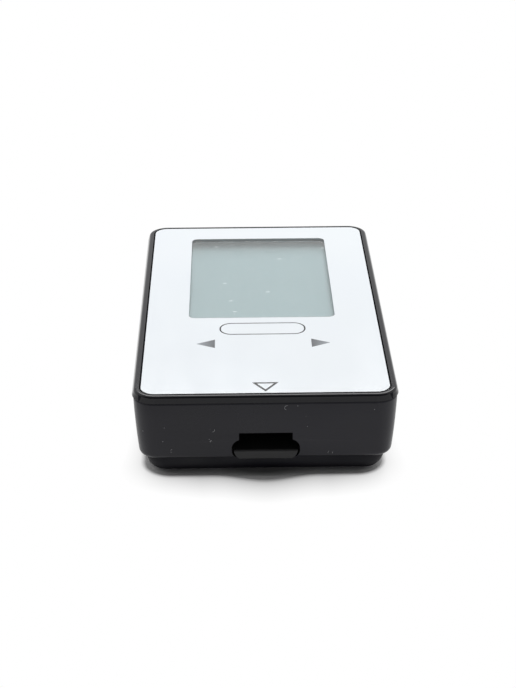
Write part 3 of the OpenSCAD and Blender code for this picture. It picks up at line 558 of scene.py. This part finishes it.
# One maker for each material slot of the record, under the slot's name
MAKERS = (
    bezel_gloss, panel_white, print_grey, lens_clear, foam_black, display_film, display_glass,
    reflector_film, inner_black, elastomer_pink, board_green, chip_black, tinned_metal,
    ceramic_tan, gold_plate, plunger_ivory, button_black, case_satin, cover_black, door_black,
    label_silver, cell_steel, seal_grey, spring_nickel, screw_steel,
)


def dress_nodes():
    """Gives every CAD node the material of its record slot."""
    made = {maker.__name__: maker() for maker in MAKERS}
    for part in frame["record"]["subparts"]:
        slots = NODES[part["node"]].data.materials
        slots.clear()
        slots.append(made[part["material_slot"]])


def round_edges(node, width):
    weld = node.modifiers.new("weld", "WELD")
    weld.merge_threshold = WELD_DISTANCE
    bevel = node.modifiers.new("edges", "BEVEL")
    bevel.width = width * MM
    bevel.segments = EDGE_SEGMENTS
    bevel.limit_method = "ANGLE"
    bevel.angle_limit = EDGE_ANGLE
    bevel.harden_normals = True


def shadow_outline(s):
    """How far outside the shadow's outline a place is, its bulge left out."""
    half_x, half_y = [corner - SHADOW_INSET for corner in CAD_BOX[1][:2]]
    leaning = s.math("ABSOLUTE", s.math("ADD", s.axis("X"), SHADOW_LEAN))
    across = s.highest(s.math("SUBTRACT", leaning, half_x), 0.0)
    along = s.highest(s.math("SUBTRACT", s.off_middle("Y"), half_y), 0.0)
    squares = s.math("MULTIPLY_ADD", across, across, s.product(along, along))
    return s.math("SUBTRACT", s.math("SQRT", squares), CORNER_RADIUS)


def shadow_tone(s, outline):
    """How far a place is out of the painted shadow, and how far from the shadow's dark core it is."""
    grown = s.spread(s.axis("Y"), SHADOW_GROWS_FROM, SHADOW_GROWS_TO)
    front = s.math("POWER", grown, SHADOW_GROWTH)
    bulge = s.spread(s.off_middle("X"), SHADOW_BULGE_HALF, 0.0, 0.0, SHADOW_BULGE, "SMOOTHSTEP")
    gap = s.math("SUBTRACT", outline, s.product(front, bulge))
    side = s.spread(s.off_middle("X"), SHADOW_MIDDLE, SHADOW_SIDE)
    reach = s.math("MULTIPLY_ADD", front, SHADOW_FRONT - SHADOW_BACK, SHADOW_BACK)
    reach = s.product(reach, s.spread(side, 0.0, 1.0, 1.0, SHADOW_SIDE_REACH))
    far = s.spread(s.math("DIVIDE", gap, reach), 0.0, 1.0)
    edge = s.spread(side, 0.0, 1.0, SHADOW_EDGE, SHADOW_SIDE_EDGE)
    step = s.product(edge, s.spread(gap, -SHADOW_STEP, 0.0))
    fade = s.product(s.math("POWER", far, SHADOW_FADE), s.math("SUBTRACT", 1.0, edge))
    off_core = s.spread(gap, -SHADOW_CORE_FULL, -SHADOW_CORE_START)
    return s.math("ADD", step, fade), off_core


def floor_surface():
    """White, and darker only in the meter's shadow, which is painted by place and reaches furthest in front
    of it.

    Seen from below it is clear, and it lets light through to the underside: the short rays that
    start there, and all but the camera's rays well inside the meter's outline.
    """
    s = Surface("floor_white")
    outline = shadow_outline(s)
    out_of_painted_shadow, off_core = shadow_tone(s, outline)
    # painted shadow: the floor's colour is darker in the shadow's core
    core = tuple(SHADOW_CORE * c for c in FLOOR_COLOUR)
    s.set(Base_Color=s.blend(off_core, core, FLOOR_COLOUR), Roughness=0.9, Specular_IOR_Level=0.0)
    path = s.add("ShaderNodeLightPath").outputs
    white = s.add("ShaderNodeEmission", {"Color": (1.0, 1.0, 1.0), "Strength": 1.0}).outputs[0]
    top = s.mix(s.product(s.shows(path), out_of_painted_shadow), s.shader.outputs[0], white)
    below = s.add("ShaderNodeNewGeometry").outputs["Backfacing"]
    short = s.math("LESS_THAN", path["Ray Length"], SHORT_RAY)
    well_inside = s.math("LESS_THAN", outline, -UNDER_INSET)
    light_only = s.math("SUBTRACT", well_inside, path["Is Camera Ray"])
    clear = s.add("ShaderNodeBsdfTransparent").outputs[0]
    whole = s.mix(s.highest(below, short, light_only), top, clear)
    s.feed(s.output.inputs["Surface"], whole)
    return s.material


def surround():
    """World that is white to look at. The room behind the camera is dark in reflections and as a light."""
    world = bpy.data.worlds.new("surround")
    bpy.context.scene.world = world
    world.use_nodes = True
    w = Tree(world.node_tree)
    path = w.add("ShaderNodeLightPath").outputs
    toward = w.add("ShaderNodeTexCoord").outputs["Generated"]
    front = w.spread(w.component(toward, "Y"), *ROOM_FRONT)
    high = w.spread(w.component(toward, "Z"), *ROOM_UP)
    unseen = w.math("SUBTRACT", 1.0, path["Is Camera Ray"])
    room = w.product(w.product(front, high), unseen)
    level = w.spread(w.shows(path), 0.0, 1.0, WORLD_LIGHT, 1.0)
    dim = w.spread(room, 0.0, 1.0, 1.0, ROOM_LIGHT)
    back = w.tree.nodes["Background"]
    w.feed(back.inputs["Color"], (1.0, 1.0, 1.0))
    w.feed(back.inputs["Strength"], w.product(level, dim))


def stage():
    """Floor and surround, and one soft light above and behind the meter."""
    bpy.ops.mesh.primitive_plane_add(size=FLOOR_SIZE, location=(0, 0, -FLOOR_GAP))
    floor = bpy.context.object
    floor.name = "floor"
    floor.data.materials.append(floor_surface())
    surround()
    lamp = bpy.data.lights.new("softbox", "AREA")
    lamp.size = SOFTBOX_SIZE
    lamp.energy = SOFTBOX_POWER
    light = bpy.data.objects.new("softbox", lamp)
    bpy.context.scene.collection.objects.link(light)
    light.location = SOFTBOX_PLACE
    light.rotation_euler = (-Vector(SOFTBOX_PLACE)).to_track_quat("-Z", "Y").to_euler()


def camera():
    """The photograph's camera: looks along +Y and down, a little to the right."""
    data = bpy.data.cameras.new("camera")
    data.sensor_width = SENSOR
    data.lens = FOCAL_PIXELS * SENSOR / IMAGE_HEIGHT
    data.clip_start = CAMERA_NEAREST
    item = bpy.data.objects.new("camera", data)
    bpy.context.scene.collection.objects.link(item)
    turn = Matrix.Rotation(-CAMERA_TURN, 4, "Z") @ Matrix.Rotation(math.pi / 2 - CAMERA_DOWN, 4, "X")
    item.matrix_world = Matrix.Translation(CAMERA_PLACE) @ turn @ Matrix.Rotation(CAMERA_ROLL, 4, "Z")
    bpy.context.scene.camera = item


dress_nodes()
for name, width in EDGES.items():
    round_edges(NODES[name], width)
stage()
camera()
bpy.context.scene.view_settings.view_transform = "Standard"
